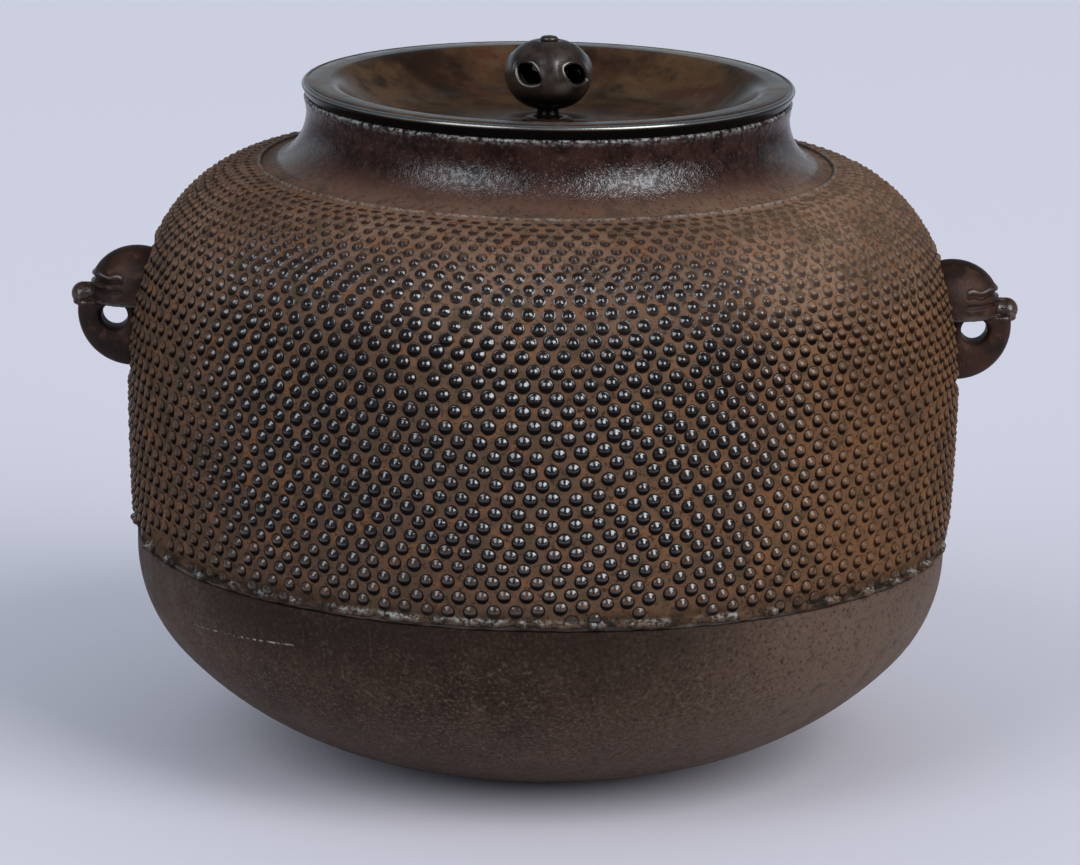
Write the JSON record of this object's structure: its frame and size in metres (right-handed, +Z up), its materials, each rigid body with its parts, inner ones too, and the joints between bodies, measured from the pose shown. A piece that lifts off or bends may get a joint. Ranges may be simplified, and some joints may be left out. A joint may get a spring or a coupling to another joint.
{
  "type": "tea kettle",
  "caption": "Round cast-iron tea kettle with hailstone relief, beast-mask lugs bored for lifting rings, a let-in bottom and a loose dished bronze lid with a pierced knob.",
  "frame": {"origin": "middle of the flat on which the kettle stands", "axes": "+Z up along the body's axis, +X through the right lug, the pictured side faces -Y"},
  "size_m": [0.2942, 0.259, 0.2248],
  "materials": {
    "relief_iron": "brown rusted cast iron, satin on the relief",
    "smooth_iron": "matt grey-brown cast iron",
    "lacquer": "dark lacquer with iron dust",
    "lug_iron": "dark brown cast iron, polished by handling",
    "plate_iron": "rough iron",
    "lid_bronze": "dark patinated bronze, satin",
    "knob_bronze": "near-black patinated bronze"
  },
  "bodies": {
    "kettle": {"upper_body": "relief_iron", "bottom_shell": "smooth_iron", "joint_seal": "lacquer", "lug_left": "lug_iron", "lug_right": "lug_iron", "singing_plate_1": "plate_iron", "singing_plate_2": "plate_iron", "singing_plate_3": "plate_iron", "singing_plate_4": "plate_iron", "singing_plate_5": "plate_iron", "singing_plate_6": "plate_iron"},
    "lid": {"lid": "lid_bronze", "knob": "knob_bronze", "knob_stem": "knob_bronze", "knob_seat": "lid_bronze", "stem_washer": "lid_bronze"}
  },
  "joints": [
    {"name": "lid_lift", "type": "slide", "parent": "kettle", "child": "lid", "axis": [0, 0, 1], "range_m": [0, 0.12]}
  ]
}
